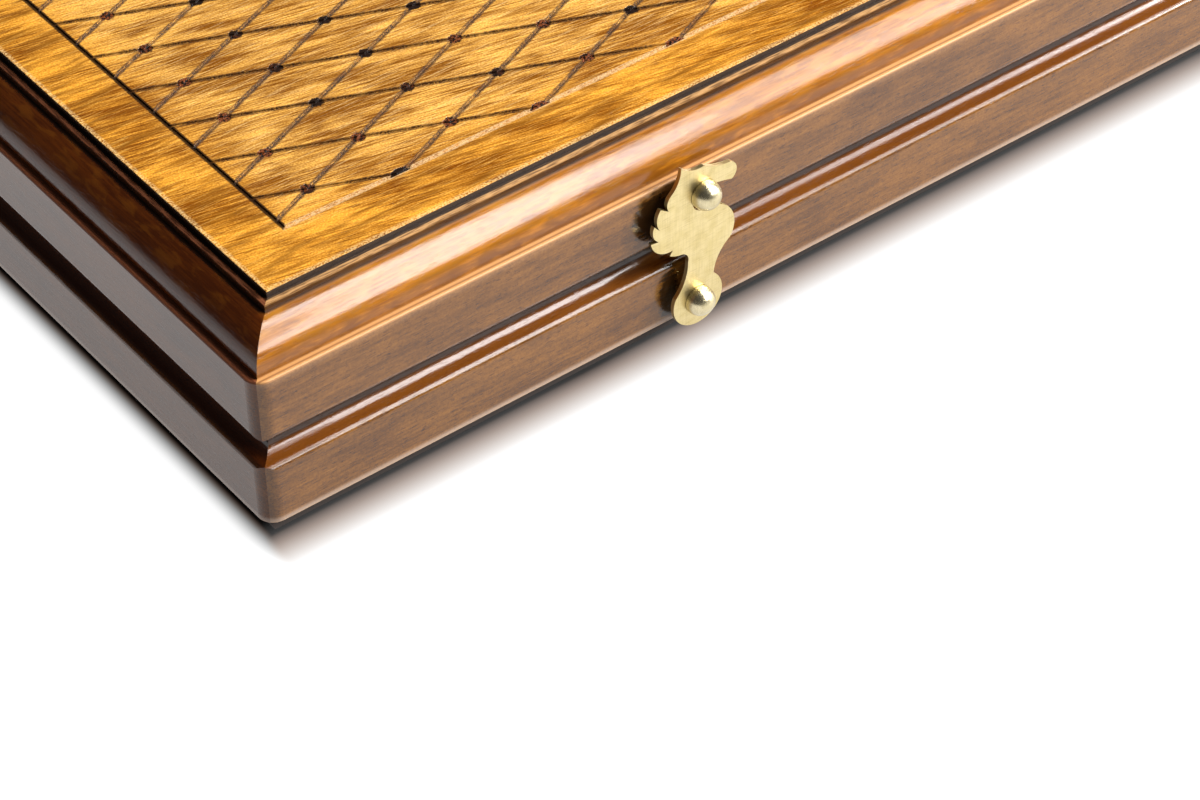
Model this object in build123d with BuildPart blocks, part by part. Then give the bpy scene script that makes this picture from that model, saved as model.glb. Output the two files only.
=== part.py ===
from build123d import *
import os
from math import asin, atan2, ceil, degrees, hypot, sin

# A folding backgammon board, closed: two shallow trays hinged along one long side.
# X runs along the long sides, -Y is the front with its two hooks, +Z is up.
# The origin is the middle of the face that the board rests on. Sizes are in millimetres.

# Case
board_length = 500.0
board_width = 250.0
half_height = 30.0
rail_thickness = 16.0
corner_radius = 3.8

# Moulding round each outer face, from the panel's edge outwards
panel_proud = 1.7
rim_width = 1.8
riser_height = 1.6
roundover_radius = 7.8
ledge_width = 1.9
arris_radius = 0.5

# Ogee along the parting, which makes a groove right round the closed case
parting_depth = 4.3
parting_wall = 2.7
parting_drop = 3.8
parting_cove_radius = 3.0
parting_arris_radius = 1.5
land_arris_radius = 0.3

# Boards let into each half
panel_thickness = 4.0
field_thickness = 3.0
inlay_thickness = 0.6

# Lattice cut into the lid's panel, inside a border line
border_inset_x = 25.0
border_inset_y = 25.4
lattice_columns = 12
lattice_margin = 10.94
lattice_rows = 26
groove_width = 0.7
groove_depth = 0.35

# Points of the playing field, along both short sides of each half
points_a_side = 6
point_length = 190.0
point_gap = 1.0

# Hook latches
latch_offset = 141.0
pivot_drop = 13.3
catch_lift = 14.6
catch_shift = 1.5
hook_standoff = 2.2
hook_thickness = 1.0
hook_eye_radius = 6.6
notch_below = 4.2
notch_above = 1.6
notch_mouth_below = 5.3
notch_mouth_above = 9.0
hook_eye_start = 50
hook_eye_sweep = 254
hook_shoulder = (7.2, -15.2)
hook_shoulder_bow = 2.6
hook_neck_bow = 1.0
hook_tip_bow = 1.5

# A hook's decorated edge, from its neck round the lobes to its tip, measured from the catch pin:
# each corner's place across and up, and the bow of the stretch that leads to it
hook_edge = [
    (-4.2, -16.4, -0.9),
    (-6.0, -13.5, -0.8),
    (-9.1, -12.3, 0.2),
    (-8.3, -11.1, 0.0),
    (-14.1, -6.7, 1.5),
    (-12.0, -7.0, 0.0),
    (-13.2, -2.5, 0.9),
    (-11.7, -4.2, 0.0),
    (-11.5, 1.2, 0.9),
    (-9.4, -0.2, 0.0),
    (-8.7, 3.6, 0.7),
    (-6.1, 9.4, -0.7),
    (0.0, 7.3, -0.8),
    (7.0, 5.0, -0.5),
]

# Domed pins of the latches
latch_pin_radius = 1.2
latch_pin_depth = 10.0
latch_pin_point = 1.5
shoulder_radius = 2.2
dome_radius = 3.4
dome_rim = 0.6
dome_height = 3.9
hook_play = 0.1
hook_bore_clearance = 0.08

# Butt hinges
hinge_offset = 150.0
axis_outset = 0.25
leaf_length = 40.0
leaf_width = 14.0
leaf_thickness = 0.9
leaf_gap = 0.1
leaf_recess_clearance = 0.1
barrel_radius = 2.5
barrel_clearance = 0.3
knuckle_count = 5
knuckle_gap = 0.2
hinge_pin_radius = 1.25
hinge_pin_fit = 0.04
hinge_pin_overhang = 0.6
hinge_pin_edge = 0.3

# Countersunk hinge screws
screws_a_leaf = 3
screw_pitch = 13.0
screw_inset = 8.6
screw_radius = 1.1
screw_head_radius = 1.9
screw_length = 10.0
screw_point = 2.5
screw_sink = 0.05
screw_slot_width = 0.5
screw_slot_depth = 0.35
countersink_angle = 90

# Holes in the wood
hole_clearance = 0.05
hole_spare = 0.5

# Checkers, stored in stacks at both ends of the base
checkers_a_side = 15
checker_radius = 16.5
checker_thickness = 9.0
checker_edge_radius = 1.2
checker_ring_radius = 11.0
checker_ring_width = 1.4
checker_ring_depth = 0.7
checkers_a_stack = 2
stack_rows = 4
stack_gap = 0.05
checker_gap = 1.8
checker_wall_gap = 2.5

# Dice: each one's distance from the light stacks, its place across the board and its turn
die_size = 12.0
die_edge_radius = 1.6
pip_radius = 1.1
pip_depth = 0.5
pip_spacing = 3.0
dice = {"first": (22.0, 14.0, 24.0), "second": (44.0, -8.0, -38.0)}

# Sizes that follow
closed_height = 2 * half_height
moulding_width = ledge_width + roundover_radius + rim_width
moulding_height = roundover_radius + riser_height + panel_proud
panel_length = board_length - 2 * moulding_width
panel_width = board_width - 2 * moulding_width
inner_length = board_length - 2 * rail_thickness
inner_width = board_width - 2 * rail_thickness
field_height = panel_thickness + field_thickness
front_y = -board_width / 2
hinge_y = board_width / 2 + axis_outset
pivot_height = half_height - pivot_drop
catch_height = half_height + catch_lift
catch_rise = pivot_drop + catch_lift
hook_reach = hypot(catch_shift, catch_rise)
hook_front = hook_standoff + hook_thickness
knuckle_pitch = (leaf_length + knuckle_gap) / knuckle_count
knuckle_length = knuckle_pitch - knuckle_gap
checker_pitch = 2 * checker_radius + checker_gap
stack_columns = ceil(ceil(checkers_a_side / checkers_a_stack) / stack_rows)

# Each half: the height of its outer face, and the way from there to the parting
halves = {"base": (0.0, 1), "lid": (closed_height, -1)}

# Each side: the way inwards, how far out it is, and its length
sides = {
    "front": (Vector(0, 1, 0), board_width / 2, board_length),
    "back": (Vector(0, -1, 0), board_width / 2, board_length),
    "left": (Vector(1, 0, 0), board_length / 2, board_width),
    "right": (Vector(-1, 0, 0), board_length / 2, board_width),
}
hands = {"left": -1, "right": 1}


# Places of the latch pins along the front
def pivot_x(hand):
    return hands[hand] * latch_offset - catch_shift / 2


def catch_x(hand):
    return hands[hand] * latch_offset + catch_shift / 2


# A plane on the front face, or a stated distance in front of it, looking outwards
def front_plane(x, z, out=0.0):
    return Plane(origin=(x, front_y - out, z), x_dir=(1, 0, 0), z_dir=(0, -1, 0))


# The plane of a leaf's inner face, with the hinge's axis as its X
def leaf_plane(half):
    way = halves[half][1]
    return Plane(origin=(0, hinge_y, half_height - way * leaf_gap / 2), x_dir=(1, 0, 0), z_dir=(0, 0, way))


# The plane of a half's playing field, looking outwards from the field
def field_plane(half):
    outer_z, way = halves[half]
    return Plane(origin=(0, 0, outer_z + way * field_height), x_dir=(1, 0, 0), z_dir=(0, 0, way))


# Places of one hinge's screws on its leaf plane
def screw_places(half, hand):
    row = -halves[half][1] * screw_inset
    first = hands[hand] * hinge_offset - (screws_a_leaf - 1) / 2 * screw_pitch
    return [(first + index * screw_pitch, row) for index in range(screws_a_leaf)]


# Frame rails, mitred at the corners
def make_rail(half, side):
    outer_z, way = halves[half]
    inward, distance, length = sides[side]
    along = inward.cross(Vector(0, 0, way))
    middle = inward * -distance + Vector(0, 0, outer_z)
    rim_edge = moulding_width - rim_width
    with BuildPart() as rail:
        with BuildSketch(Plane(origin=middle, x_dir=inward, z_dir=along)) as profile:
            with BuildLine():
                roundover = CenterArc((rim_edge, moulding_height), roundover_radius, 180, 90)
                Polyline(
                    roundover @ 1,
                    (rim_edge, panel_proud),
                    (moulding_width, panel_proud),
                    (moulding_width, panel_thickness),
                    (rail_thickness, panel_thickness),
                    (rail_thickness, half_height),
                    (parting_depth, half_height),
                    (parting_depth, half_height - parting_wall),
                    (0, half_height - parting_drop),
                    (0, moulding_height),
                    roundover @ 0,
                )
            make_face()
            cove_corner = (parting_depth, half_height - parting_wall)
            fillet(profile.vertices().sort_by_distance(cove_corner)[0], parting_cove_radius)
            fillet(profile.vertices().group_by(Axis.X)[0].sort_by(Axis.Y)[-1], parting_arris_radius)
            fillet(profile.vertices().group_by(Axis.Y)[-1], land_arris_radius)
        extrude(amount=length / 2, both=True)
        for end in (-1, 1):
            corner = middle + along * (end * length / 2)
            split(bisect_by=Plane(origin=corner, z_dir=along * -end - inward), keep=Keep.TOP)
        with BuildSketch():
            RectangleRounded(board_length, board_width, corner_radius)
        extrude(amount=closed_height, mode=Mode.INTERSECT)
        ledge_point = middle + Vector(0, 0, way * moulding_height)
        ledge = rail.faces().filter_by(Plane.XY).sort_by_distance(ledge_point)[0]
        arris = ledge.edges().filter_by(GeomType.CIRCLE) + ledge.edges().sort_by_distance(ledge_point)[:1]
        fillet(arris, arris_radius)
        if side == "front":
            place_x, height = (pivot_x, pivot_height) if half == "base" else (catch_x, catch_height)
            with Locations(*[front_plane(place_x(hand), height) for hand in hands]):
                Hole(latch_pin_radius + hole_clearance, latch_pin_depth + hole_spare)
        if side == "back":
            recess_width = leaf_width + leaf_recess_clearance
            recess_depth = (leaf_gap + leaf_recess_clearance) / 2 + leaf_thickness
            with BuildSketch(Plane.XY.offset(half_height)):
                for hand in hands.values():
                    with Locations((hand * hinge_offset, hinge_y - recess_width / 2)):
                        Rectangle(leaf_length + 2 * leaf_recess_clearance, recess_width)
            extrude(amount=-way * recess_depth, mode=Mode.SUBTRACT)
            with BuildSketch(leaf_plane(half)):
                for hand in hands:
                    with Locations(*screw_places(half, hand)):
                        Circle(screw_radius + hole_clearance)
            extrude(amount=-screw_length - hole_spare, mode=Mode.SUBTRACT)
    rail.part.label = f"{half}_{side}_rail"
    return rail.part


# Outer panels, let into the rails and standing proud of the rim
def make_panel(half):
    outer_z, way = halves[half]
    border_length = board_length - 2 * border_inset_x
    border_width = board_width - 2 * border_inset_y
    step_x = (border_length / 2 - lattice_margin) / lattice_columns
    step_y = border_width / lattice_rows
    slant = atan2(step_y, step_x)
    groove_length = border_width / sin(slant) + 2 * groove_width
    lines_a_way = lattice_columns + lattice_rows // 2
    with BuildPart() as panel:
        with BuildSketch(Plane.XY.offset(outer_z)):
            Rectangle(panel_length, panel_width)
        extrude(amount=way * panel_thickness)
        if half == "lid":
            inside_border = (border_length - 2 * groove_width, border_width - 2 * groove_width)
            with BuildSketch(Plane.XY.offset(outer_z)):
                Rectangle(border_length, border_width)
                Rectangle(*inside_border, mode=Mode.SUBTRACT)
            extrude(amount=way * groove_depth, mode=Mode.SUBTRACT)
            for lean in (-1, 1):
                with BuildSketch(Plane.XY.offset(outer_z)):
                    with GridLocations(2 * step_x, 1, lines_a_way, 1):
                        Rectangle(groove_length, groove_width, rotation=lean * degrees(slant))
                    Rectangle(border_length, border_width, mode=Mode.INTERSECT)
                extrude(amount=way * groove_depth, mode=Mode.SUBTRACT)
    panel.part.label = f"{half}_panel"
    return panel.part


# Outlines of one shade of points, drawn in the sketch that is open
def draw_points(shade):
    pitch = inner_width / points_a_side
    base_half = (pitch - point_gap) / 2
    for end in (-1, 1):
        for index in range(points_a_side):
            middle = (index - (points_a_side - 1) / 2) * pitch
            if ("dark", "light")[(index + (end > 0)) % 2] == shade:
                wall = end * inner_length / 2
                tip = (wall - end * point_length, middle)
                Polygon((wall, middle - base_half), (wall, middle + base_half), tip, align=None)


# Playing boards, with pockets for the inlaid points
def make_field(half):
    with BuildPart() as field:
        with BuildSketch(field_plane(half)):
            Rectangle(inner_length, inner_width)
        extrude(amount=-field_thickness)
        with BuildSketch(field_plane(half)):
            draw_points("dark")
            draw_points("light")
        extrude(amount=-inlay_thickness, mode=Mode.SUBTRACT)
    field.part.label = f"{half}_field"
    return field.part


def make_points(half, shade):
    with BuildPart() as points:
        with BuildSketch(field_plane(half)):
            draw_points(shade)
        extrude(amount=-inlay_thickness)
    points.part.label = f"{half}_{shade}_points"
    return points.part


# Stamped hooks: an eye round the pivot, a shank, lobes on the left and a finger over the catch pin
def make_hook(hand):
    below = hook_reach - notch_below
    above = hook_reach + notch_above
    catch_angle = degrees(atan2(catch_rise, catch_shift))
    mouth_below = 90 - degrees(asin(notch_mouth_below / below))
    mouth_above = 90 - degrees(asin(notch_mouth_above / above))
    catch = Vector(catch_shift, catch_rise)
    outwards = catch.normalized()
    leftwards = outwards.rotate(Axis.Z, 90)
    with BuildPart() as hook:
        with BuildSketch(front_plane(pivot_x(hand), pivot_height, hook_standoff)):
            with BuildLine():
                eye = CenterArc((0, 0), hook_eye_radius, hook_eye_start, -hook_eye_sweep)
                last = eye @ 1
                for u, v, bow in hook_edge:
                    target = catch + Vector(u, v)
                    last = (SagittaArc(last, target, bow) if bow else Line(last, target)) @ 1
                notch_top = CenterArc((0, 0), above, mouth_above, catch_angle - mouth_above)
                SagittaArc(last, notch_top @ 0, hook_tip_bow)
                notch_floor = CenterArc((0, 0), below, catch_angle, mouth_below - catch_angle)
                notch_end = outwards * ((above + below) / 2) + leftwards * ((above - below) / 2)
                ThreePointArc(notch_top @ 1, notch_end, notch_floor @ 0)
                shoulder = SagittaArc(notch_floor @ 1, catch + Vector(*hook_shoulder), hook_shoulder_bow)
                SagittaArc(shoulder @ 1, eye @ 0, -hook_neck_bow)
            make_face()
            Circle(latch_pin_radius + hook_bore_clearance, mode=Mode.SUBTRACT)
        extrude(amount=hook_thickness)
    hook.part.label = f"{hand}_hook"
    return hook.part


# Domed pins: a shank in the wood, a shoulder behind the hook and a dome in front of it
def make_latch_pin(name, x, z):
    shoulder = hook_standoff - hook_play
    dome_base = hook_front + hook_play
    dome_top = dome_base + dome_height
    crown = dome_height - dome_rim
    crown_radius = (dome_radius**2 + crown**2) / (2 * crown)
    crown_angle = degrees(asin(dome_radius / crown_radius))
    with BuildPart() as pin:
        with BuildSketch(Plane(origin=(x, front_y, z), x_dir=(1, 0, 0), z_dir=(0, 0, 1))):
            with BuildLine():
                dome = CenterArc((0, crown_radius - dome_top), crown_radius, -90, crown_angle)
                Polyline(
                    dome @ 1,
                    (dome_radius, -dome_base),
                    (latch_pin_radius, -dome_base),
                    (latch_pin_radius, -shoulder),
                    (shoulder_radius, -shoulder),
                    (shoulder_radius, 0),
                    (latch_pin_radius, 0),
                    (latch_pin_radius, latch_pin_depth - latch_pin_point),
                    (0, latch_pin_depth),
                    dome @ 0,
                )
            make_face()
        revolve(axis=Axis((x, front_y, z), (0, 1, 0)))
    pin.part.label = name
    return pin.part


# Hinge leaves, let into the rails, with alternate knuckles round the pin
def make_leaf(half, hand):
    way = halves[half][1]
    middle = hands[hand] * hinge_offset
    plate_edge = barrel_radius + barrel_clearance
    first = 0 if half == "base" else 1
    centres = [index - (knuckle_count - 1) / 2 for index in range(first, knuckle_count, 2)]
    knuckles = [middle + centre * knuckle_pitch for centre in centres]
    with BuildPart() as leaf:
        with BuildSketch(leaf_plane(half)):
            with Locations((middle, -way * (leaf_width + plate_edge) / 2)):
                Rectangle(leaf_length, leaf_width - plate_edge)
            with Locations(*[(x, -way * plate_edge / 2) for x in knuckles]):
                Rectangle(knuckle_length, plate_edge)
        extrude(amount=-leaf_thickness)
        with Locations(*[(x, hinge_y, half_height) for x in knuckles]):
            Cylinder(barrel_radius, knuckle_length, rotation=(0, 90, 0))
        with Locations((middle, hinge_y, half_height)):
            bore = hinge_pin_radius + hinge_pin_fit
            Cylinder(bore, leaf_length + knuckle_gap, rotation=(0, 90, 0), mode=Mode.SUBTRACT)
        with Locations(leaf_plane(half)):
            with Locations(*screw_places(half, hand)):
                hole = screw_radius + hole_clearance
                CounterSinkHole(hole, screw_head_radius + hole_clearance, leaf_width, countersink_angle)
    leaf.part.label = f"{hand}_hinge_{half}_leaf"
    return leaf.part


def make_hinge_pin(hand):
    with BuildPart() as pin:
        with Locations((hands[hand] * hinge_offset, hinge_y, half_height)):
            Cylinder(hinge_pin_radius, leaf_length + 2 * hinge_pin_overhang, rotation=(0, 90, 0))
        fillet(pin.edges().filter_by(GeomType.CIRCLE), hinge_pin_edge)
    pin.part.label = f"{hand}_hinge_pin"
    return pin.part


# One countersunk screw, pointing down, with its head's face at the origin
def make_screw():
    with BuildPart() as screw:
        with BuildSketch(Plane.XZ):
            Polygon(
                (0, -screw_sink),
                (screw_head_radius - screw_sink, -screw_sink),
                (screw_radius, screw_radius - screw_head_radius),
                (screw_radius, screw_point - screw_length),
                (0, -screw_length),
                align=None,
            )
        revolve(axis=Axis.Z)
        with BuildSketch():
            Rectangle(2 * screw_head_radius, screw_slot_width)
        extrude(amount=-screw_sink - screw_slot_depth, mode=Mode.SUBTRACT)
    return screw.part


def make_hinge_screws(half):
    screw = make_screw()
    with BuildPart() as screws:
        with Locations(leaf_plane(half)):
            for hand in hands:
                with Locations(*screw_places(half, hand)):
                    add(screw)
    screws.part.label = f"{half}_hinge_screws"
    return screws.part


# One turned checker, standing on the origin
def make_checker():
    with BuildPart() as checker:
        with BuildSketch(Plane.XZ) as section:
            with Locations((checker_radius / 2, checker_thickness / 2)):
                Rectangle(checker_radius, checker_thickness)
            fillet(section.vertices().group_by(Axis.X)[-1], checker_edge_radius)
            with Locations((checker_ring_radius, 0), (checker_ring_radius, checker_thickness)):
                Rectangle(checker_ring_width, 2 * checker_ring_depth, mode=Mode.SUBTRACT)
        revolve(axis=Axis.Z)
    return checker.part


# Stacks of one colour, from the wall inwards
def make_checkers(colour, hand):
    checker = make_checker()
    places = []
    for index in range(checkers_a_side):
        stack, level = divmod(index, checkers_a_stack)
        column, row = divmod(stack, stack_rows)
        from_wall = checker_wall_gap + checker_radius + column * checker_pitch
        x = hands[hand] * (inner_length / 2 - from_wall)
        y = ((stack_rows - 1) / 2 - row) * checker_pitch
        places.append((x, y, field_height + level * (checker_thickness + stack_gap)))
    with BuildPart() as checkers:
        with Locations(*places):
            add(checker)
    checkers.part.label = f"{colour}_checkers"
    return checkers.part


# Dice, with opposite faces adding up to seven
def make_die(name):
    from_stacks, y, turn = dice[name]
    x = -inner_length / 2 + checker_wall_gap + stack_columns * checker_pitch + from_stacks
    middle = [(0, 0)]
    slant = [(-1, -1), (1, 1)]
    square = slant + [(-1, 1), (1, -1)]
    faces = {
        (0, 0, 1): middle,
        (1, 0, 0): slant,
        (0, 1, 0): slant + middle,
        (0, -1, 0): square,
        (-1, 0, 0): square + middle,
        (0, 0, -1): square + [(-1, 0), (1, 0)],
    }
    with BuildPart() as cube:
        Box(die_size, die_size, die_size)
        fillet(cube.edges(), die_edge_radius)
        for out, spots in faces.items():
            with Locations(Plane(origin=Vector(*out) * (die_size / 2), z_dir=out)):
                for u, v in spots:
                    with Locations((u * pip_spacing, v * pip_spacing, pip_radius - pip_depth)):
                        Sphere(pip_radius, mode=Mode.SUBTRACT)
    with BuildPart() as die:
        with Locations(Location((x, y, field_height + die_size / 2), (0, 0, turn))):
            add(cube.part)
    die.part.label = f"{name}_die"
    return die.part


parts = []
for half in halves:
    for side in sides:
        parts.append(make_rail(half, side))
    parts.append(make_panel(half))
    parts.append(make_field(half))
    for shade in ("dark", "light"):
        parts.append(make_points(half, shade))
    for hand in hands:
        parts.append(make_leaf(half, hand))
    parts.append(make_hinge_screws(half))
for hand in hands:
    parts.append(make_hinge_pin(hand))
    parts.append(make_hook(hand))
    parts.append(make_latch_pin(f"{hand}_hook_pivot", pivot_x(hand), pivot_height))
    parts.append(make_latch_pin(f"{hand}_catch_pin", catch_x(hand), catch_height))
for colour, hand in (("light", "left"), ("dark", "right")):
    parts.append(make_checkers(colour, hand))
for name in dice:
    parts.append(make_die(name))

os.makedirs("parts", exist_ok=True)
for part in parts:
    export_step(part, f"parts/{part.label}.step")
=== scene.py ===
import math

import bmesh
import bpy
from mathutils import Matrix, Vector


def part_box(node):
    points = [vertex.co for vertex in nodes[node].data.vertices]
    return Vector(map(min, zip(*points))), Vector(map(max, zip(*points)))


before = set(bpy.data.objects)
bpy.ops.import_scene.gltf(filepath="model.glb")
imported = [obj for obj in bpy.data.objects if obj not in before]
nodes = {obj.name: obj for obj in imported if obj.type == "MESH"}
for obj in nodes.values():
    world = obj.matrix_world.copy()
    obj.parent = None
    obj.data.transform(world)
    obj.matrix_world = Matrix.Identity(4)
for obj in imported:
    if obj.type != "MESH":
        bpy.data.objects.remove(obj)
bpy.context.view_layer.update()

# Sizes repeated from the frame, in metres
boardLength = 0.500
boardWidth = 0.250
closedHeight = 0.060

# Half of each in millimetres, for the patterns
perMetre = 1000
halfX = boardLength / 2 * perMetre
halfY = boardWidth / 2 * perMetre
halfZ = closedHeight / 2 * perMetre
noiseMiddle = 0.5


# Node helpers: a plain value is set on the socket, and an output is linked to it
def fillSocket(tree, socket, value):
    if isinstance(value, bpy.types.NodeSocket):
        tree.links.new(value, socket)
    else:
        socket.default_value = value


def addNode(tree, kind, inputs=None, **settings):
    node = tree.nodes.new(kind)
    for name, value in settings.items():
        setattr(node, name, value)
    for name, value in (inputs or {}).items():
        fillSocket(tree, node.inputs[name], value)
    return node


def setShader(shader, values):
    for name, value in values.items():
        shader.inputs[name].default_value = value


def calc(tree, operation, *values):
    node = tree.nodes.new("ShaderNodeMath")
    node.operation = operation
    for socket, value in zip(node.inputs, values):
        fillSocket(tree, socket, value)
    return node.outputs[0]


def product(tree, *values):
    result = values[0]
    for value in values[1:]:
        result = calc(tree, "MULTIPLY", result, value)
    return result


def flip(tree, value):
    return calc(tree, "SUBTRACT", 1.0, value)


def distance(tree, x, y):
    return calc(tree, "SQRT", calc(tree, "MULTIPLY_ADD", x, x, calc(tree, "MULTIPLY", y, y)))


def swing(tree, pattern, amount):
    # A pattern's swing to both sides of its middle
    return calc(tree, "MULTIPLY", calc(tree, "SUBTRACT", pattern, noiseMiddle), amount)


def blendColour(tree, amount, first, second, kind="MIX"):
    # The node's sockets for colours share their names with others, so they go by number
    node = addNode(tree, "ShaderNodeMix", data_type="RGBA", blend_type=kind)
    for index, value in ((0, amount), (6, first), (7, second)):
        fillSocket(tree, node.inputs[index], value)
    return node.outputs[2]


def tinted(tree, colour, tint):
    return blendColour(tree, 1.0, colour, tint, "MULTIPLY")


def ramp(tree, value, start, end, **settings):
    # 0 at start, 1 at end, straight between them
    limits = {"Value": value, "From Min": start, "From Max": end}
    return addNode(tree, "ShaderNodeMapRange", limits, **settings).outputs["Result"]


def fade(tree, value, start, end):
    # 0 at start, 1 at end, smooth between them
    return ramp(tree, value, start, end, interpolation_type="SMOOTHSTEP")


def fadeOut(tree, value, start, end):
    return flip(tree, fade(tree, value, start, end))


def beside(line, band):
    return line + band[0], line + band[1]


def stretch(tree, vector, scale, turn=0.0):
    settings = {"Vector": vector, "Scale": scale, "Rotation": (0, 0, math.radians(turn))}
    return addNode(tree, "ShaderNodeMapping", settings).outputs["Vector"]


def splitAxes(tree, vector):
    return addNode(tree, "ShaderNodeSeparateXYZ", {"Vector": vector}).outputs


def noise(tree, vector, scale, detail=2.0, distortion=0.0, turn=0.0):
    # A scale with a value for each axis stretches the pattern
    if isinstance(scale, tuple):
        vector, scale = stretch(tree, vector, scale, turn), 1.0
    settings = {"Vector": vector, "Scale": scale, "Detail": detail, "Distortion": distortion}
    return addNode(tree, "ShaderNodeTexNoise", settings).outputs["Fac"]


def newGroup(name, inputs, outputs):
    group = bpy.data.node_groups.new(name, "ShaderNodeTree")
    for label, kind, value in inputs:
        socket = group.interface.new_socket(label, in_out="INPUT", socket_type=kind)
        if value is not None:
            socket.default_value = value
    for label, kind in outputs:
        group.interface.new_socket(label, in_out="OUTPUT", socket_type=kind)
    given = group.nodes.new("NodeGroupInput").outputs
    return group, given, group.nodes.new("NodeGroupOutput").inputs


def useGroup(tree, group, inputs):
    node = tree.nodes.new("ShaderNodeGroup")
    node.node_tree = group
    for name, value in inputs.items():
        fillSocket(tree, node.inputs[name], value)
    return node.outputs


def newMaterial(name):
    material = bpy.data.materials.new(name)
    material.use_nodes = True
    tree = material.node_tree
    place = addNode(tree, "ShaderNodeTexCoord").outputs["Object"]
    millimetres = stretch(tree, place, (perMetre, perMetre, perMetre))
    return material, tree, tree.nodes["Principled BSDF"], millimetres


def addBump(tree, shader, height, depth, strength):
    bump = addNode(tree, "ShaderNodeBump",
                   {"Height": height, "Distance": depth, "Strength": strength})
    tree.links.new(bump.outputs["Normal"], shader.inputs["Normal"])


# Wood grain that runs along X, on coordinates in millimetres
grainPattern = {
    "cloud": {"scale": (0.020, 0.055, 0.055), "distortion": 0.8},
    "mottle": {"scale": (0.06, 0.24, 0.24), "detail": 3.0, "distortion": 0.7},
    "fibre": {"scale": 1.0, "detail": 3.0, "distortion": 0.1},
    "fibreAlong": 0.13,
    "fibreAcross": 1.9,
    "pore": {"scale": (0.40, 3.4, 3.4)},
    "poreRange": (0.56, 0.66),
    "poreTint": (0.42, 0.34, 0.28, 1),
    "poreDepth": 0.4,
}


def makeWoodGrain(look):
    group, given, result = newGroup(
        "woodGrain",
        [("Vector", "NodeSocketVector", None), ("Deep", "NodeSocketColor", None),
         ("Bright", "NodeSocketColor", None), ("Cloud", "NodeSocketFloat", 1.0),
         ("Mottle", "NodeSocketFloat", 1.5), ("Fibre", "NodeSocketFloat", 2.5),
         ("Flecks", "NodeSocketFloat", None), ("Length", "NodeSocketFloat", 1.0),
         ("Fineness", "NodeSocketFloat", 1.0)],
        [("Colour", "NodeSocketColor"), ("Height", "NodeSocketFloat")])
    vector = given["Vector"]
    cloud = noise(group, vector, **look["cloud"])
    mottle = noise(group, vector, **look["mottle"])
    along = calc(group, "DIVIDE", look["fibreAlong"], given["Length"])
    across = calc(group, "MULTIPLY", given["Fineness"], look["fibreAcross"])
    scale = addNode(group, "ShaderNodeCombineXYZ", {"X": along, "Y": across, "Z": across})
    stretched = addNode(group, "ShaderNodeVectorMath", operation="MULTIPLY")
    group.links.new(vector, stretched.inputs[0])
    group.links.new(scale.outputs["Vector"], stretched.inputs[1])
    fibre = noise(group, stretched.outputs["Vector"], **look["fibre"])
    level = noiseMiddle
    for pattern, label in ((cloud, "Cloud"), (mottle, "Mottle"), (fibre, "Fibre")):
        level = calc(group, "ADD", swing(group, pattern, given[label]), level)
    colour = blendColour(group, ramp(group, level, 0.0, 1.0), given["Deep"], given["Bright"])
    pore = fade(group, noise(group, vector, **look["pore"]), *look["poreRange"])
    fleck = product(group, pore, given["Flecks"])
    colour = blendColour(group, fleck, colour, tinted(group, colour, look["poreTint"]))
    group.links.new(colour, result["Colour"])
    sunk = calc(group, "MULTIPLY", fleck, look["poreDepth"])
    group.links.new(calc(group, "SUBTRACT", fibre, sunk), result["Height"])
    return group


# Scratches and smudges on worn metal
wearPattern = {
    "line": {"scale": (0.25, 7.0, 7.0)},
    "lineTurns": (28.648, 63.025, 137.510),
    "lineRange": (0.60, 0.70),
    "smudge": {"scale": 0.35, "detail": 3.0},
    "smudgeRange": (0.35, 0.7),
}


def makeMetalWear(look):
    group, given, result = newGroup(
        "metalWear", [("Vector", "NodeSocketVector", None)],
        [("Scratch", "NodeSocketFloat"), ("Smudge", "NodeSocketFloat")])
    vector = given["Vector"]
    scratch = 0.0
    for turn in look["lineTurns"]:
        line = noise(group, vector, turn=turn, **look["line"])
        scratch = calc(group, "MAXIMUM", scratch, fade(group, line, *look["lineRange"]))
    group.links.new(scratch, result["Scratch"])
    smudge = noise(group, vector, **look["smudge"])
    group.links.new(fade(group, smudge, *look["smudgeRange"]), result["Smudge"])
    return group


woodGrain = makeWoodGrain(grainPattern)
metalWear = makeMetalWear(wearPattern)
print("effects done")


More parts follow.
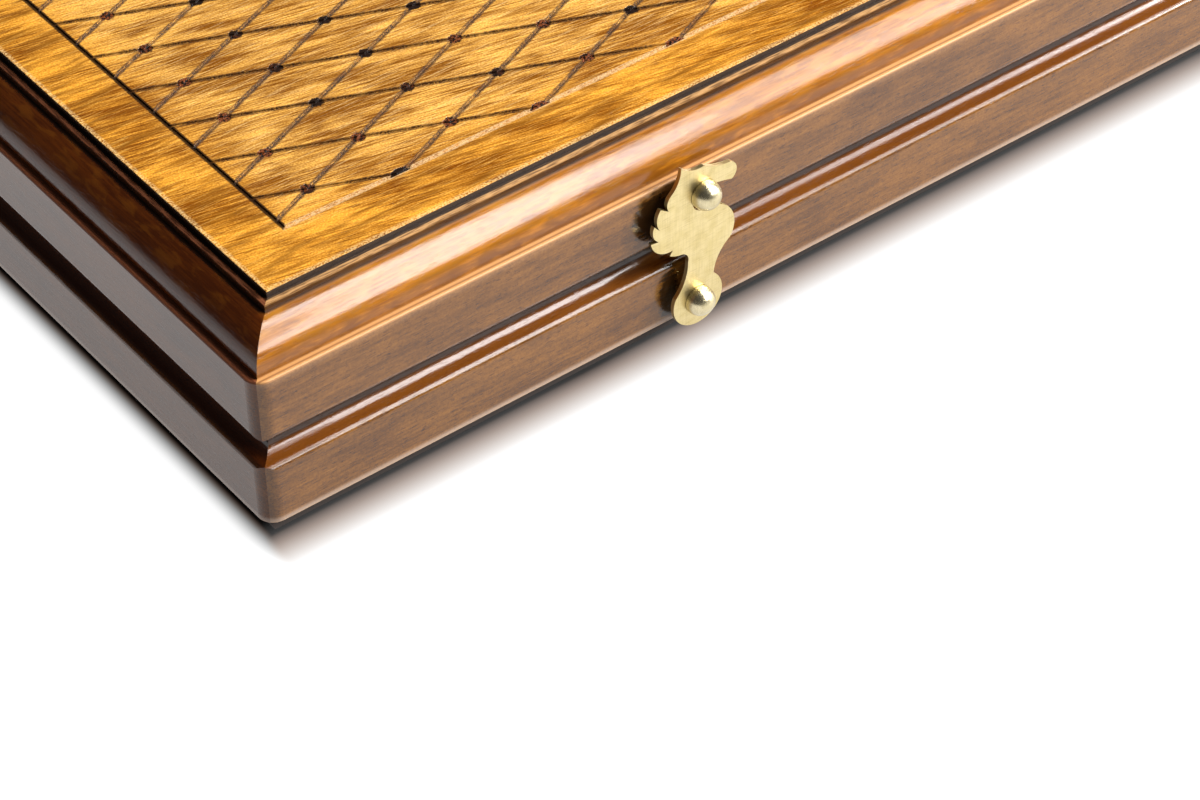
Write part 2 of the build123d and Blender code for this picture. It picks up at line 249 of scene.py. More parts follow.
# Rails: stained, with a clear coat, and the grain along each rail. A depth is measured from the
# nearer outer face, an inset from the nearer side, and a band from the line that it lies beside
railWood = {
    "along": {"turn": 0.0, "shade": (1.0, 1.0, 1.0), "specular": 0.4, "coat": 0.15,
              "pooled": 0.15},
    # Painted shade: the rails across the ends are painted darker, for the side that faces away from
    # the lamps
    "across": {"turn": 90.0, "shade": (0.33, 0.20, 0.22), "specular": 0.26, "coat": 0.08,
               "pooled": 0.08},
    "nearBlack": (0.012, 0.005, 0.002, 1),
    "cloud": 1.3,
    "mottle": 1.9,
    "flat": {"deep": (0.085, 0.030, 0.0035), "bright": (0.175, 0.068, 0.0080), "power": 0.5,
             "fibre": 1.7, "flecks": 0.85},
    "worn": {"colour": (0.30, 0.150, 0.060), "band": (0.4, 2.4), "amount": 0.5},
    "specks": {"tint": (0.50, 0.44, 0.40, 1), "noise": {"scale": 2.3}, "range": (0.38, 0.65),
               "amount": 0.5},
    "moulding": {"deep": (0.170, 0.052, 0.0030), "bright": (0.330, 0.118, 0.0070), "power": 1.0,
                 "fibre": 2.4, "flecks": 0.25},
    "mouldingDepth": 11.1,
    "mouldingBand": (-0.3, 0.3),
    "patch": {"colour": (0.360, 0.150, 0.0100), "power": 0.7, "range": (0.48, 0.66),
              "noise": {"scale": (0.16, 0.5, 0.5), "detail": 3.0, "distortion": 0.5},
              "amount": 0.45},
    "lowerRoundShade": {"colour": (0.130, 0.042, 0.0040), "band": (-6.0, -1.5), "range": (0.30, 0.62)},
    "rim": {"bright": (0.46, 0.250, 0.095), "deep": (0.150, 0.070, 0.022),
            "noise": {"scale": (0.25, 2.4, 2.4), "detail": 3.0}, "range": (0.42, 0.62),
            "inset": 9.7, "insetBand": (-0.2, 0.1), "depth": 1.7, "depthBand": (0.1, 0.4)},
    "riser": {"height": 1.6, "insetBand": (-0.8, -0.1), "depthBand": (-0.1, 0.5), "amount": 0.85},
    "panelEdgeLine": {"inset": 10.9, "band": (-0.15, 0.15), "amount": 0.93},
    "ledge": {"colour": (0.50, 0.240, 0.075), "width": 1.9, "widthBand": (-0.2, 0.2),
              "upperBand": (-0.35, -0.1), "lowerBand": (0.1, 0.3)},
    "seam": {"band": (0.12, 0.30), "amount": 0.75},
    "arris": {"colour": (0.42, 0.20, 0.07), "below": 0.25, "band": (0.12, 0.4), "amount": 0.4},
    "foot": {"colour": (0.42, 0.35, 0.29, 1), "upperBand": (-0.1, 0.2), "lowerBand": (0.6, 1.9),
             "amount": 0.38},
    "ragged": {"scale": (0.3, 1.2, 1.2), "detail": 3.0},
    "groove": {"depth": 26.0, "depthBand": (-0.2, 0.4), "land": 4.5, "landBand": (-0.05, 0.05),
               "wall": 3.7, "wallBand": (0.0, 0.5), "cove": 1.7, "coveBand": (-0.1, 0.2),
               "uneven": 1.6, "shelfRange": (0.4, 0.8)},
    "shelf": (0.120, 0.030, 0.002),
    "shelfAmount": 0.7,
    "wallAmount": 0.9,
    "hookPatches": {"places": ((-151.5, 42.0, 5.2, 6.2), (-147.2, 19.0, 2.6, 7.5),
                          (130.5, 42.0, 5.2, 6.2), (134.8, 19.0, 2.6, 7.5)),
               "uneven": 1.3, "range": (0.75, 1.1), "amount": 0.85, "frontBand": (4.0, 6.0)},
    "gloss": 0.19,
    "underRoughness": 0.65,
    "arrisRoughness": 0.35,
    "coatRoughness": 0.03,
    "relief": (0.00005, 0.6),
}


def shaded(colour, shade, power=1.0):
    return tuple(channel * amount ** power for channel, amount in zip(colour, shade)) + (1,)


def findGroove(tree, zone, look):
    groove, inset = look["groove"], zone["inset"]
    # The lands on which the halves meet stay bare
    beforeLand = fadeOut(tree, inset, *beside(groove["land"], groove["landBand"]))
    deepEnough = product(tree, beforeLand, fade(
        tree, zone["depth"], *beside(groove["depth"], groove["depthBand"])))
    onWall = product(tree, deepEnough, fade(
        tree, inset, *beside(groove["wall"], groove["wallBand"])))
    unevenInset = calc(tree, "ADD", inset, swing(tree, zone["ragged"], groove["uneven"]))
    inCove = product(tree, deepEnough, flip(tree, onWall), fade(
        tree, unevenInset, *beside(groove["cove"], groove["coveBand"])))
    onShelf = product(tree, deepEnough, fade(tree, inset, *groove["shelfRange"]))
    return {"onWall": onWall, "inCove": inCove, "onShelf": onShelf}


def findZones(tree, place, turn, look):
    axes = splitAxes(tree, place)
    fromMiddle = calc(tree, "ABSOLUTE", calc(tree, "SUBTRACT", axes["Z"], halfZ))
    depth = calc(tree, "SUBTRACT", halfZ, fromMiddle)
    insetX = calc(tree, "SUBTRACT", halfX, calc(tree, "ABSOLUTE", axes["X"]))
    insetY = calc(tree, "SUBTRACT", halfY, calc(tree, "ABSOLUTE", axes["Y"]))
    edge, arris = look["mouldingDepth"], look["arris"]
    grain = stretch(tree, place, (1, 1, 1), turn)
    inBase = calc(tree, "LESS_THAN", axes["Z"], halfZ)
    onMoulding = fadeOut(tree, depth, *beside(edge, look["mouldingBand"]))
    toArris = calc(tree, "ABSOLUTE", calc(tree, "SUBTRACT", depth, edge + arris["below"]))
    zone = {
        "place": place, "axes": axes, "grain": grain, "depth": depth, "inBase": inBase,
        "inset": calc(tree, "MINIMUM", insetX, insetY),
        "onMoulding": onMoulding,
        "underneath": product(tree, inBase, onMoulding),
        "onArris": fadeOut(tree, toArris, *arris["band"]),
        "ragged": noise(tree, grain, **look["ragged"]),
    }
    zone.update(findGroove(tree, zone, look))
    return zone


def railGrain(tree, zone, shade, look, part):
    return useGroup(tree, woodGrain, {
        "Vector": zone["grain"], "Cloud": look["cloud"], "Mottle": look["mottle"],
        "Deep": shaded(part["deep"], shade, part["power"]),
        "Bright": shaded(part["bright"], shade, part["power"]),
        "Fibre": part["fibre"], "Flecks": part["flecks"]})


def colourMoulding(tree, zone, shade, look):
    colour = railGrain(tree, zone, shade, look, look["moulding"])["Colour"]
    patch, lowerRoundShade = look["patch"], look["lowerRoundShade"]
    patches = noise(tree, zone["grain"], **patch["noise"])
    patched = product(tree, fade(tree, patches, *patch["range"]), patch["amount"])
    colour = blendColour(tree, patched, colour, shaded(patch["colour"], shade, patch["power"]))
    # Painted shade: the roundover is painted darker towards its foot, in patches
    lower = fade(tree, zone["depth"], *beside(look["mouldingDepth"], lowerRoundShade["band"]))
    shadedLower = product(tree, lower, ramp(tree, patches, *lowerRoundShade["range"]))
    colour = blendColour(tree, shadedLower, colour, shaded(lowerRoundShade["colour"], shade))
    # Painted shade: under the base, where it faces the table in the case's shadow, the moulding is
    # painted nearly black
    return blendColour(tree, zone["underneath"], colour, look["nearBlack"])


def colourFlats(tree, colour, zone, shade, look):
    worn, specks = look["worn"], look["specks"]
    # The flats are worn lighter beside the ledge
    wornEdge = fadeOut(tree, zone["depth"], *beside(look["mouldingDepth"], worn["band"]))
    colour = blendColour(tree, product(tree, wornEdge, worn["amount"]), colour,
                         shaded(worn["colour"], shade))
    speckle = ramp(tree, noise(tree, zone["place"], **specks["noise"]), *specks["range"])
    return blendColour(tree, product(tree, speckle, specks["amount"]), colour,
                       tinted(tree, colour, specks["tint"]))


def addRim(tree, colour, zone, shade, look):
    rim, riser, panelEdgeLine = look["rim"], look["riser"], look["panelEdgeLine"]
    depth, inset = zone["depth"], zone["inset"]
    onRiser = product(
        tree, fade(tree, inset, *beside(rim["inset"], riser["insetBand"])),
        fadeOut(tree, depth, *beside(rim["depth"] + riser["height"], riser["depthBand"])))
    colour = blendColour(tree, product(tree, onRiser, riser["amount"]), colour, look["nearBlack"])
    onRim = product(tree, fade(tree, inset, *beside(rim["inset"], rim["insetBand"])),
                    fadeOut(tree, depth, *beside(rim["depth"], rim["depthBand"])))
    streaks = ramp(tree, noise(tree, zone["grain"], **rim["noise"]), *rim["range"])
    rimColour = blendColour(tree, streaks, shaded(rim["bright"], shade), shaded(rim["deep"], shade))
    colour = blendColour(tree, onRim, colour, rimColour)
    # The rim is darkened along the panel's edge
    besidePanel = fade(tree, inset, *beside(panelEdgeLine["inset"], panelEdgeLine["band"]))
    return blendColour(tree, product(tree, onRim, besidePanel, panelEdgeLine["amount"]), colour,
                       look["nearBlack"])


def addLedge(tree, colour, zone, shade, look):
    ledge, seam, arris, foot = (look[part] for part in ("ledge", "seam", "arris", "foot"))
    depth, inset, edge = zone["depth"], zone["inset"], look["mouldingDepth"]
    onLedge = product(tree, fadeOut(tree, depth, *beside(edge, ledge["lowerBand"])),
                      fade(tree, depth, *beside(edge, ledge["upperBand"])),
                      fadeOut(tree, inset, *beside(ledge["width"], ledge["widthBand"])))
    colour = blendColour(tree, onLedge, colour, shaded(ledge["colour"], shade))
    # A dark line in the middle of the ledge, and a bare arris below it, painted lighter: bare wood
    # and a painted highlight
    toSeam = calc(tree, "ABSOLUTE", calc(tree, "SUBTRACT", inset, ledge["width"] / 2))
    onSeam = product(tree, onLedge, fadeOut(tree, toSeam, *seam["band"]), seam["amount"])
    colour = blendColour(tree, onSeam, colour, shaded(look["shelf"], shade))
    colour = blendColour(tree, product(tree, zone["onArris"], arris["amount"]), colour,
                         shaded(arris["colour"], shade))
    # Painted highlight: the lower edge of the base is painted pale, as the glowing table's
    # reflection in its arris
    paintedFootGlint = product(tree, fade(tree, depth, *beside(edge, foot["upperBand"])),
                     fadeOut(tree, depth, *beside(edge, foot["lowerBand"])))
    return blendColour(tree, product(tree, zone["inBase"], paintedFootGlint, foot["amount"]), colour,
                       foot["colour"])


def addHookPatches(tree, colour, zone, look):
    # Dark ragged patches on the front rails, beside the hooks
    hookPatches, axes = look["hookPatches"], zone["axes"]
    facing = fadeOut(tree, axes["Y"], *beside(-halfY, hookPatches["frontBand"]))
    for centreX, centreZ, reachX, reachZ in hookPatches["places"]:
        offX = calc(tree, "DIVIDE", calc(tree, "SUBTRACT", axes["X"], centreX), reachX)
        offZ = calc(tree, "DIVIDE", calc(tree, "SUBTRACT", axes["Z"], centreZ), reachZ)
        unevenAway = calc(tree, "ADD", distance(tree, offX, offZ),
                          swing(tree, zone["ragged"], hookPatches["uneven"]))
        patchAmount = product(tree, fadeOut(tree, unevenAway, *hookPatches["range"]), hookPatches["amount"])
        colour = blendColour(tree, product(tree, patchAmount, facing), colour, look["nearBlack"])
    return colour


def makeRailWood(name, way, look):
    material, tree, shader, place = newMaterial(name)
    shade = way["shade"]
    zone = findZones(tree, place, way["turn"], look)
    flat = railGrain(tree, zone, shade, look, look["flat"])
    colour = blendColour(tree, zone["onMoulding"],
                         colourFlats(tree, flat["Colour"], zone, shade, look),
                         colourMoulding(tree, zone, shade, look))
    colour = addRim(tree, colour, zone, shade, look)
    colour = addLedge(tree, colour, zone, shade, look)
    # Painted shade: the parting's shelf and the wall behind it, in the groove between the halves,
    # are painted dark
    colour = blendColour(tree, product(tree, zone["onShelf"], look["shelfAmount"]), colour,
                         shaded(look["shelf"], shade))
    colour = blendColour(tree, product(tree, zone["onWall"], look["wallAmount"]), colour,
                         look["nearBlack"])
    if way is look["along"]:
        colour = addHookPatches(tree, colour, zone, look)
    tree.links.new(colour, shader.inputs["Base Color"])
    dulled = calc(tree, "MULTIPLY_ADD", zone["underneath"], look["underRoughness"], look["gloss"])
    tree.links.new(calc(tree, "MULTIPLY_ADD", zone["onArris"], look["arrisRoughness"], dulled),
                   shader.inputs["Roughness"])
    # The varnish is missing on the dark wall, the moulding below and the arris, and has pooled
    # in the cove
    dry = calc(tree, "MAXIMUM", calc(tree, "MAXIMUM", zone["onWall"], zone["underneath"]),
               zone["onArris"])
    coated = product(tree, flip(tree, dry), way["coat"])
    tree.links.new(calc(tree, "MULTIPLY_ADD", zone["inCove"], way["pooled"], coated),
                   shader.inputs["Coat Weight"])
    setShader(shader, {"Specular IOR Level": way["specular"],
                       "Coat Roughness": look["coatRoughness"]})
    addBump(tree, shader, flat["Height"], *look["relief"])
    return material


# Panels: golden wood with a burnt lattice, border line and edge
panelWood = {
    "grain": {"Deep": (0.215, 0.072, 0.0045, 1), "Bright": (0.860, 0.460, 0.0920, 1),
              "Cloud": 1.6, "Mottle": 2.2, "Fibre": 2.6, "Flecks": 0.6, "Length": 1.5,
              "Fineness": 1.35},
    "grainTurn": 13.0,
    "halfSize": (238.5, 113.5),
    "pale": {"colour": (0.900, 0.620, 0.2600, 1), "noise": {"scale": (0.11, 3.0, 3.0)},
             "range": (0.50, 0.68), "amount": 0.38},
    "speckle": {"scale": 2.3},
    "specks": {"tint": (0.55, 0.42, 0.28, 1), "range": (0.40, 0.60), "amount": 0.62},
    "arris": {"colour": (0.86, 0.62, 0.28, 1), "range": (0.4, 1.2), "highlightRange": (0.62, 0.38),
              "amount": 0.55},
    "side": {"colour": (0.016, 0.007, 0.003, 1), "range": (0.02, 0.10), "topBand": (-0.35, -0.15)},
    "finish": {"Roughness": 0.22, "Specular IOR Level": 0.3, "Coat Weight": 0.15,
               "Coat Roughness": 0.06},
    "relief": (0.00008, 0.6),
}

lattice = {
    "step": (17.84, 7.66),
    "border": (225.0, 99.6),
    "cutBand": (-0.05, 0.05),
    "ragged": {"scale": 1.3, "detail": 3.0},
    "wobble": 1.2,
    "outerTint": {"tint": (0.97, 0.82, 0.42, 1), "range": (-6.0, 12.0)},
    "flame": {"colour": (0.170, 0.058, 0.0040, 1), "range": (0.46, 0.72), "edgeRange": (-3.0, 6.0),
              "noise": {"scale": (0.06, 0.50, 0.50), "detail": 5.0, "distortion": 0.3},
              "amount": 0.95},
    "lines": {"rising": (0.075, 0.041, 0.023, 1), "falling": (0.055, 0.023, 0.009, 1),
              "half": 0.62, "band": (-0.1, 0.25), "wobble": 0.45, "noise": {"scale": 0.22},
              "range": (0.1, 0.5), "speckRange": (0.80, 0.42)},
    "borderLine": {"colour": (0.016, 0.007, 0.003, 1), "long": (0.560, 0.370, 0.180, 1),
                   "middle": 0.35, "range": (0.50, 0.85), "wobble": 0.25, "cornerBand": (-0.5, 0.5),
                   "speckRange": (0.42, 0.62), "amount": 0.92, "lost": -0.7},
    "dots": {"colour": (0.012, 0.006, 0.004, 1), "radius": 1.45, "band": (-0.15, 0.35),
             "clusterExtra": 0.9, "clusterRange": (0.5, 2.5), "depth": 3.0},
    "embers": {"colour": (0.180, 0.050, 0.016, 1), "chosen": {"scale": 0.045, "detail": 1.0},
               "chosenRange": (0.44, 0.56), "noise": {"scale": 1.5}, "range": (0.46, 0.58)},
}


def nearestWhole(tree, value):
    # Signed distance to the nearest whole number
    return calc(tree, "SUBTRACT", value, calc(tree, "ROUND", value))


def stainBorder(tree, colour, place, inside, turn, look):
    # The wood is stained deeper outside the border line, with flames along it
    outer, flame = look["outerTint"], look["flame"]
    colour = blendColour(tree, fadeOut(tree, inside, *outer["range"]), colour,
                         tinted(tree, colour, outer["tint"]))
    flames = ramp(tree, noise(tree, place, turn=turn, **flame["noise"]), *flame["range"])
    nearEdge = fadeOut(tree, inside, *flame["edgeRange"])
    return blendColour(tree, product(tree, flames, nearEdge, flame["amount"]), colour,
                       flame["colour"])


def addLattice(tree, colour, place, axes, speckle, turn, look):
    lines, line, dots, embers = (look[part] for part in ("lines", "borderLine", "dots", "embers"))
    stepX, stepY = look["step"]
    columns = calc(tree, "DIVIDE", axes["X"], stepX * 2)
    rows = calc(tree, "DIVIDE", axes["Y"], stepY * 2)
    rising = nearestWhole(tree, calc(tree, "SUBTRACT", columns, rows))
    falling = nearestWhole(tree, calc(tree, "ADD", columns, rows))
    spacing = 2 * stepX * math.sin(math.atan2(stepY, stepX))
    acrossX = calc(tree, "MULTIPLY", calc(tree, "ADD", rising, falling), stepX)
    acrossY = calc(tree, "MULTIPLY", calc(tree, "SUBTRACT", falling, rising), stepY)
    insideX, insideY = (calc(tree, "SUBTRACT", reach, calc(tree, "ABSOLUTE", axes[axis]))
                        for axis, reach in zip("XY", look["border"]))
    inside = calc(tree, "MINIMUM", insideX, insideY)
    within = fade(tree, inside, *look["cutBand"])
    wobble = swing(tree, noise(tree, place, **look["ragged"]), look["wobble"])
    colour = stainBorder(tree, colour, place, inside, turn, look)
    # The lines are burnt dark, and one way they are painted lighter than the other: painted light
    # on the groove walls that face the lamps
    strength = product(tree, ramp(tree, noise(tree, place, **lines["noise"]), *lines["range"]),
                       ramp(tree, speckle, *lines["speckRange"]))
    for family, tone in ((rising, lines["rising"]), (falling, lines["falling"])):
        toLine = calc(tree, "MULTIPLY", calc(tree, "ABSOLUTE", family), spacing)
        onLine = fadeOut(tree, calc(tree, "MULTIPLY_ADD", wobble, lines["wobble"], toLine),
                         *beside(lines["half"], lines["band"]))
        colour = blendColour(tree, product(tree, onLine, within, strength), colour, tone)
    # The long borders are painted pale: a painted glint along their grooves, broken up by the
    # speckle
    toBorder = calc(tree, "ABSOLUTE", calc(tree, "SUBTRACT", inside, line["middle"]))
    onBorder = fadeOut(tree, calc(tree, "MULTIPLY_ADD", wobble, line["wobble"], toBorder),
                       *line["range"])
    alongBorder = fade(tree, calc(tree, "SUBTRACT", insideX, insideY), *line["cornerBand"])
    broken = product(tree, ramp(tree, speckle, *line["speckRange"]), alongBorder)
    borderStrength = calc(tree, "MULTIPLY_ADD", broken, line["lost"], line["amount"])
    colour = blendColour(tree, product(tree, onBorder, borderStrength), colour,
                         blendColour(tree, alongBorder, line["colour"], line["long"]))
    # The dots run into larger clusters along the border, and some have glowing middles
    nearBorder = fadeOut(tree, insideY, *dots["clusterRange"])
    radius = calc(tree, "MULTIPLY_ADD", nearBorder, dots["clusterExtra"], dots["radius"])
    unevenAway = calc(tree, "ADD", distance(tree, acrossX, acrossY), wobble)
    onDot = product(tree, fadeOut(tree, calc(tree, "SUBTRACT", unevenAway, radius), *dots["band"]),
                    within)
    colour = blendColour(tree, onDot, colour, dots["colour"])
    glowing = product(
        tree, fade(tree, noise(tree, place, **embers["chosen"]), *embers["chosenRange"]),
        fade(tree, noise(tree, place, **embers["noise"]), *embers["range"]))
    colour = blendColour(tree, product(tree, glowing, onDot), colour, embers["colour"])
    return colour, product(tree, onDot, dots["depth"])


def makePanelWood(name, look, pattern=None):
    material, tree, shader, place = newMaterial(name)
    turn = look["grainTurn"]
    grain = useGroup(tree, woodGrain, {"Vector": stretch(tree, place, (1, 1, 1), turn),
                                       **look["grain"]})
    axes = splitAxes(tree, place)
    pale, specks, arris, side = (look[part] for part in ("pale", "specks", "arris", "side"))
    # Painted glints: pale fibres between the darker ones, painted as if they catch the light
    fibres = fade(tree, noise(tree, place, turn=turn, **pale["noise"]), *pale["range"])
    colour = blendColour(tree, product(tree, fibres, pale["amount"]), grain["Colour"],
                         pale["colour"])
    speckle = noise(tree, place, **look["speckle"])
    specked = product(tree, ramp(tree, speckle, *specks["range"]), specks["amount"])
    colour = blendColour(tree, specked, colour, tinted(tree, colour, specks["tint"]))
    height = grain["Height"]
    if pattern:
        colour, sunk = addLattice(tree, colour, place, axes, speckle, turn, pattern)
        height = calc(tree, "SUBTRACT", height, sunk)
    # A painted highlight: a light arris round the top, broken up by the speckle, above the burnt
    # side
    toEdge = calc(tree, "MINIMUM", *(
        calc(tree, "SUBTRACT", reach, calc(tree, "ABSOLUTE", axes[axis]))
        for axis, reach in zip("XY", look["halfSize"])))
    paintedArrisHighlight = product(tree, fadeOut(tree, toEdge, *arris["range"]),
                        ramp(tree, speckle, *arris["highlightRange"]))
    colour = blendColour(tree, product(tree, paintedArrisHighlight, arris["amount"]), colour, arris["colour"])
    outward = calc(tree, "ABSOLUTE", calc(tree, "SUBTRACT", axes["Z"], halfZ))
    onSide = product(tree, fadeOut(tree, toEdge, *side["range"]),
                     fadeOut(tree, outward, *beside(halfZ, side["topBand"])))
    colour = blendColour(tree, onSide, colour, side["colour"])
    tree.links.new(colour, shader.inputs["Base Color"])
    setShader(shader, look["finish"])
    addBump(tree, shader, height, *look["relief"])
    return material


# Inside: the playing board, its inlaid points, and the checkers
insideWood = {
    "field": {"deep": (0.17, 0.075, 0.022, 1), "bright": (0.34, 0.175, 0.065, 1),
              "turn": 0.0, "coat": 0.1},
    "darkPoints": {"deep": (0.018, 0.008, 0.004, 1), "bright": (0.060, 0.026, 0.012, 1),
                   "turn": 0.0, "coat": 0.1},
    "lightPoints": {"deep": (0.42, 0.27, 0.12, 1), "bright": (0.62, 0.45, 0.23, 1),
                    "turn": 0.0, "coat": 0.1},
    "lightCheckers": {"deep": (0.46, 0.30, 0.15, 1), "bright": (0.68, 0.50, 0.28, 1),
                      "turn": 22.918, "coat": 0.25},
    "darkCheckers": {"deep": (0.022, 0.009, 0.005, 1), "bright": (0.085, 0.034, 0.016, 1),
                     "turn": -17.189, "coat": 0.25},
}
insideFinish = {"Roughness": 0.5, "Specular IOR Level": 0.1, "Coat Roughness": 0.22}
insideFlecks = 0.4
insideRelief = (0.00003, 0.5)


def makeInsideWood(name, look):
    material, tree, shader, place = newMaterial(name)
    grain = useGroup(tree, woodGrain, {
        "Vector": stretch(tree, place, (1, 1, 1), look["turn"]), "Deep": look["deep"],
        "Bright": look["bright"], "Flecks": insideFlecks})
    tree.links.new(grain["Colour"], shader.inputs["Base Color"])
    setShader(shader, {**insideFinish, "Coat Weight": look["coat"]})
    addBump(tree, shader, grain["Height"], *insideRelief)
    return material


# Brass of the hooks, their pins and the hinges
brass = {
    "hook": {"bright": (0.64, 0.52, 0.265, 1), "dull": (0.58, 0.465, 0.215, 1),
             "smooth": 0.28, "rough": 0.42},
    "pin": {"bright": (0.62, 0.54, 0.35, 1), "dull": (0.55, 0.47, 0.28, 1),
            "smooth": 0.26, "rough": 0.38},
    "hinge": {"bright": (0.80, 0.60, 0.27, 1), "dull": (0.58, 0.40, 0.16, 1),
              "smooth": 0.26, "rough": 0.46},
}
brassWear = {
    "brush": {"scale": (4.0, 4.0, 0.15)},
    "brushRange": (0.4, 0.7),
    "brushDirt": 0.22,
    "scratchDirt": 0.35,
    "dirt": (0.55, 0.50, 0.42, 1),
    "scratchRough": 0.4,
    "smudgeRough": 0.6,
    "relief": (0.00001, 0.6),
}


def makeBrass(name, look, wear):
    material, tree, shader, place = newMaterial(name)
    worn = useGroup(tree, metalWear, {"Vector": place})
    # Brushed along Z, with dirt in the scratches and the brush marks
    brushed = ramp(tree, noise(tree, place, **wear["brush"]), *wear["brushRange"])
    marks = calc(tree, "MULTIPLY_ADD", worn["Scratch"], wear["scratchDirt"],
                 product(tree, brushed, wear["brushDirt"]))
    clean = blendColour(tree, worn["Smudge"], look["bright"], look["dull"])
    tree.links.new(blendColour(tree, marks, clean, tinted(tree, clean, wear["dirt"])),
                   shader.inputs["Base Color"])
    rougher = calc(tree, "MULTIPLY_ADD", worn["Scratch"], wear["scratchRough"],
                   product(tree, worn["Smudge"], wear["smudgeRough"]))
    spread = look["rough"] - look["smooth"]
    tree.links.new(calc(tree, "MULTIPLY_ADD", rougher, spread, look["smooth"]),
                   shader.inputs["Roughness"])
    setShader(shader, {"Metallic": 1.0})
    addBump(tree, shader, flip(tree, worn["Scratch"]), *wear["relief"])
    return material


# Dice: ivory white, with dark paint in the pips
dicePaint = {
    "body": (0.76, 0.70, 0.56, 1),
    "shade": (0.66, 0.58, 0.42, 1),
    "pip": (0.018, 0.014, 0.012, 1),
    "halfSize": 6.0,
    "pipBand": (-0.11, -0.08),
    "faceRange": (4.15, 4.25),
    "cloud": {"scale": 0.3, "detail": 3.0},
    "gloss": 0.14,
    "cloudGloss": 0.14,
    "ripple": {"scale": 1.5},
    "relief": (0.00002, 0.25),
    "turns": {"first_die": 24.0, "second_die": -38.0},
}


def makeDicePaint(name, look):
    material, tree, shader, place = newMaterial(name + "Paint")
    # The die's own coordinates, in which a face lies at its half size
    low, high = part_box(name)
    turned = addNode(tree, "ShaderNodeMapping",
                     {"Vector": place, "Location": (low + high) / 2 * perMetre,
                      "Rotation": (0, 0, math.radians(look["turns"][name]))},
                     vector_type="TEXTURE").outputs["Vector"]
    axes = splitAxes(tree, turned)
    x, y, z = (calc(tree, "ABSOLUTE", axes[axis]) for axis in "XYZ")
    largest = calc(tree, "MAXIMUM", calc(tree, "MAXIMUM", x, y), z)
    smallest = calc(tree, "MINIMUM", calc(tree, "MINIMUM", x, y), z)
    total = calc(tree, "ADD", calc(tree, "ADD", x, y), z)
    second = calc(tree, "SUBTRACT", total, calc(tree, "ADD", largest, smallest))
    # A pip is below the face's plane, and away from the rounded edges
    sunk = fadeOut(tree, largest, *beside(look["halfSize"], look["pipBand"]))
    inPip = product(tree, sunk, fadeOut(tree, second, *look["faceRange"]))
    cloud = noise(tree, place, **look["cloud"])
    body = blendColour(tree, cloud, look["body"], look["shade"])
    tree.links.new(blendColour(tree, inPip, body, look["pip"]), shader.inputs["Base Color"])
    tree.links.new(calc(tree, "MULTIPLY_ADD", cloud, look["cloudGloss"], look["gloss"]),
                   shader.inputs["Roughness"])
    addBump(tree, shader, noise(tree, place, **look["ripple"]), *look["relief"])
    return material


railAlong = makeRailWood("railWoodAlong", railWood["along"], railWood)
railAcross = makeRailWood("railWoodAcross", railWood["across"], railWood)
lidPanelWood = makePanelWood("lidPanelWood", panelWood, lattice)
basePanelWood = makePanelWood("basePanelWood", panelWood)
insides = {name: makeInsideWood(name + "Wood", look) for name, look in insideWood.items()}
metals = {name: makeBrass(name + "Brass", look, brassWear) for name, look in brass.items()}


def materialFor(name):
    if name.endswith("_rail"):
        return railAcross if "left" in name or "right" in name else railAlong
    if name.endswith("_panel"):
        return lidPanelWood if name.startswith("lid") else basePanelWood
    if name.endswith("_field"):
        return insides["field"]
    if name.endswith("_points"):
        return insides["darkPoints" if "dark" in name else "lightPoints"]
    if name.endswith("_checkers"):
        return insides["darkCheckers" if name.startswith("dark") else "lightCheckers"]
    if name.endswith("_die"):
        return makeDicePaint(name, dicePaint)
    if name.endswith("_hook"):
        return metals["hook"]
    if name.endswith(("_hook_pivot", "_catch_pin")):
        return metals["pin"]
    return metals["hinge"]


for name, piece in nodes.items():
    finish = materialFor(name)
    for materialSlot in piece.material_slots:
        materialSlot.material = finish
print("materials done on", len(nodes), "pieces")


# Camera, aimed at the foot of the front near its left hook
cameraView = {
    "aim": (-0.166, -boardWidth / 2, -0.001),
    "distance": 0.767,
    "azimuth": 323.0,
    "elevation": 41.8,
    "roll": -1.1,
    "lens": 107.5,
    "sensorWidth": 36.0,
}


def makeCamera(view):
    data = bpy.data.cameras.new("camera")
    data.lens = view["lens"]
    data.sensor_width = view["sensorWidth"]
    camera = bpy.data.objects.new("camera", data)
    bpy.context.scene.collection.objects.link(camera)
    turn = Matrix.Rotation(math.radians(view["azimuth"]), 4, "Z")
    tilt = Matrix.Rotation(math.radians(90 - view["elevation"]), 4, "X")
    roll = Matrix.Rotation(math.radians(view["roll"]), 4, "Z")
    back = Matrix.Translation((0, 0, view["distance"]))
    camera.matrix_world = Matrix.Translation(view["aim"]) @ turn @ tilt @ roll @ back
    bpy.context.scene.camera = camera


makeCamera(cameraView)
print("camera done")


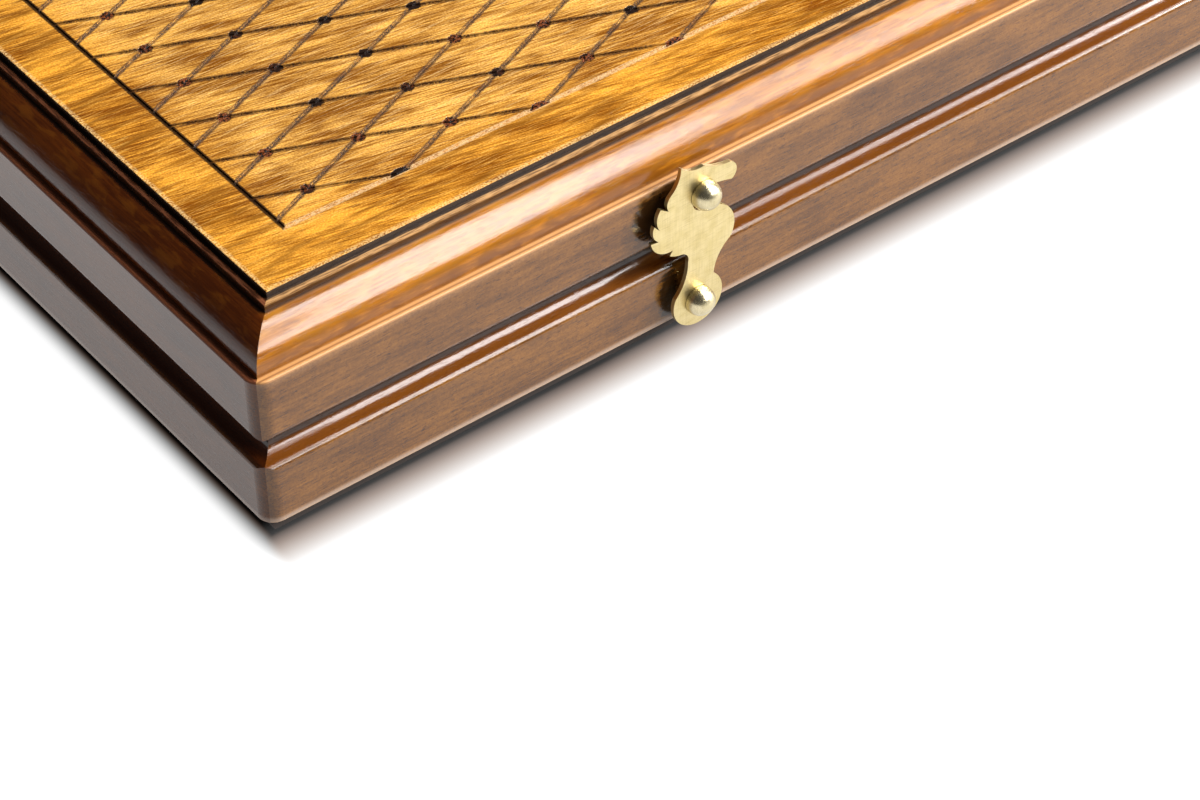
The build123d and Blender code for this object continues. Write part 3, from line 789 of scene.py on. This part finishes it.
# A glowing white table, a low main softbox from the right, a long strip overhead for the highlight
# on the mouldings, and a gleam that shows in reflections only and carries that highlight on
studio = {
    "floorSize": 6.0,
    "floorFinish": {"Base Color": (0.04, 0.04, 0.04, 1), "Roughness": 0.9,
                    "Emission Strength": 1.4},
    "frontShade": (-0.0085, 0.0022),
    "frontContact": (-0.0092, -0.0078),
    "sideShade": (-0.0056, 0.0002),
    "shadeTint": {"Red": 0.0, "Green": 0.22, "Blue": 0.36},
    "tintRange": (-0.3, 0.3),
    "nearGlow": 0.72,
    "nearReach": (0.0, 0.035),
    "farGlow": 0.72,
    "farReach": (0.10, 0.55),
    "target": (-0.15, -0.08, 0.04),
    "softboxes": {
        "mainSoftbox": {"direction": (0.78, -0.42, 0.40), "distance": 1.8, "size": (0.5, 0.7),
                        "power": 78, "diffuse": True},
        "stripSoftbox": {"direction": (0.449, -0.43, 0.85), "distance": 1.6, "size": (2.2, 0.29),
                         "power": 37, "diffuse": True},
        "gleamSoftbox": {"direction": (1.22, -0.653, 1.291), "distance": 1.89,
                         "size": (2.1, 0.50), "power": 27, "diffuse": False},
    },
    "skyColour": (1.0, 1.0, 1.0, 1),
    "skyStrength": 0.07,
}


def addFloorGlow(tree, shader, look):
    # Painted shadow: the table's glow fades out under the case and just around it
    axes = splitAxes(tree, addNode(tree, "ShaderNodeTexCoord").outputs["Object"])
    beyondX = calc(tree, "SUBTRACT", calc(tree, "ABSOLUTE", axes["X"]), boardLength / 2)
    beyondY = calc(tree, "SUBTRACT", calc(tree, "ABSOLUTE", axes["Y"]), boardWidth / 2)
    pastSide = fade(tree, beyondX, *look["sideShade"])
    pastFront = product(tree, ramp(tree, beyondY, *look["frontShade"]),
                        ramp(tree, beyondY, *look["frontContact"]))
    outsidePaintedShadow = calc(tree, "MINIMUM", 1.0, distance(tree, pastSide, pastFront))
    # Painted shade: the glow is dimmer close to the case, and falls off far from it
    beyond = calc(tree, "MAXIMUM", beyondX, beyondY)
    near = calc(tree, "MULTIPLY_ADD", ramp(tree, beyond, *look["nearReach"]),
                1 - look["nearGlow"], look["nearGlow"])
    far = calc(tree, "MULTIPLY_ADD", fade(tree, beyond, *look["farReach"]),
               look["farGlow"] - 1, 1.0)
    glow = product(tree, near, far)
    # Painted light: the painted shadow in front of the case is tinted warm, as light bounced off
    # the wood
    beforeFront = ramp(tree, calc(tree, "SUBTRACT", pastFront, pastSide), *look["tintRange"])
    channels = {}
    for channel, warmth in look["shadeTint"].items():
        power = calc(tree, "MULTIPLY_ADD", beforeFront, warmth, 1.0)
        channels[channel] = product(tree, glow, calc(tree, "POWER", outsidePaintedShadow, power))
    tree.links.new(addNode(tree, "ShaderNodeCombineColor", channels).outputs["Color"],
                   shader.inputs["Emission Color"])


def makeFloor(look):
    bm = bmesh.new()
    bmesh.ops.create_grid(bm, x_segments=1, y_segments=1, size=look["floorSize"])
    mesh = bpy.data.meshes.new("floor")
    bm.to_mesh(mesh)
    bm.free()
    floor = bpy.data.objects.new("floor", mesh)
    bpy.context.scene.collection.objects.link(floor)
    material = bpy.data.materials.new("floorPaper")
    material.use_nodes = True
    shader = material.node_tree.nodes["Principled BSDF"]
    setShader(shader, look["floorFinish"])
    addFloorGlow(material.node_tree, shader, look)
    mesh.materials.append(material)


def makeSoftbox(name, box, target):
    data = bpy.data.lights.new(name, "AREA")
    data.shape = "RECTANGLE"
    data.size, data.size_y = box["size"]
    data.energy = box["power"]
    lamp = bpy.data.objects.new(name, data)
    bpy.context.scene.collection.objects.link(lamp)
    lamp.visible_diffuse = box["diffuse"]
    aim = Vector(box["direction"]).normalized()
    # The long side stands across the front mouldings
    along = aim.cross(Vector((1, 0, 0))).normalized()
    turn = Matrix((along, aim.cross(along), aim)).transposed().to_4x4()
    lamp.matrix_world = Matrix.Translation(Vector(target) + aim * box["distance"]) @ turn


def makeSky(look):
    world = bpy.data.worlds.new("studio")
    bpy.context.scene.world = world
    world.use_nodes = True
    setShader(world.node_tree.nodes["Background"],
              {"Color": look["skyColour"], "Strength": look["skyStrength"]})
    bpy.context.scene.view_settings.view_transform = "Standard"


makeFloor(studio)
for name, box in studio["softboxes"].items():
    makeSoftbox(name, box, studio["target"])
makeSky(studio)
print("stage done")
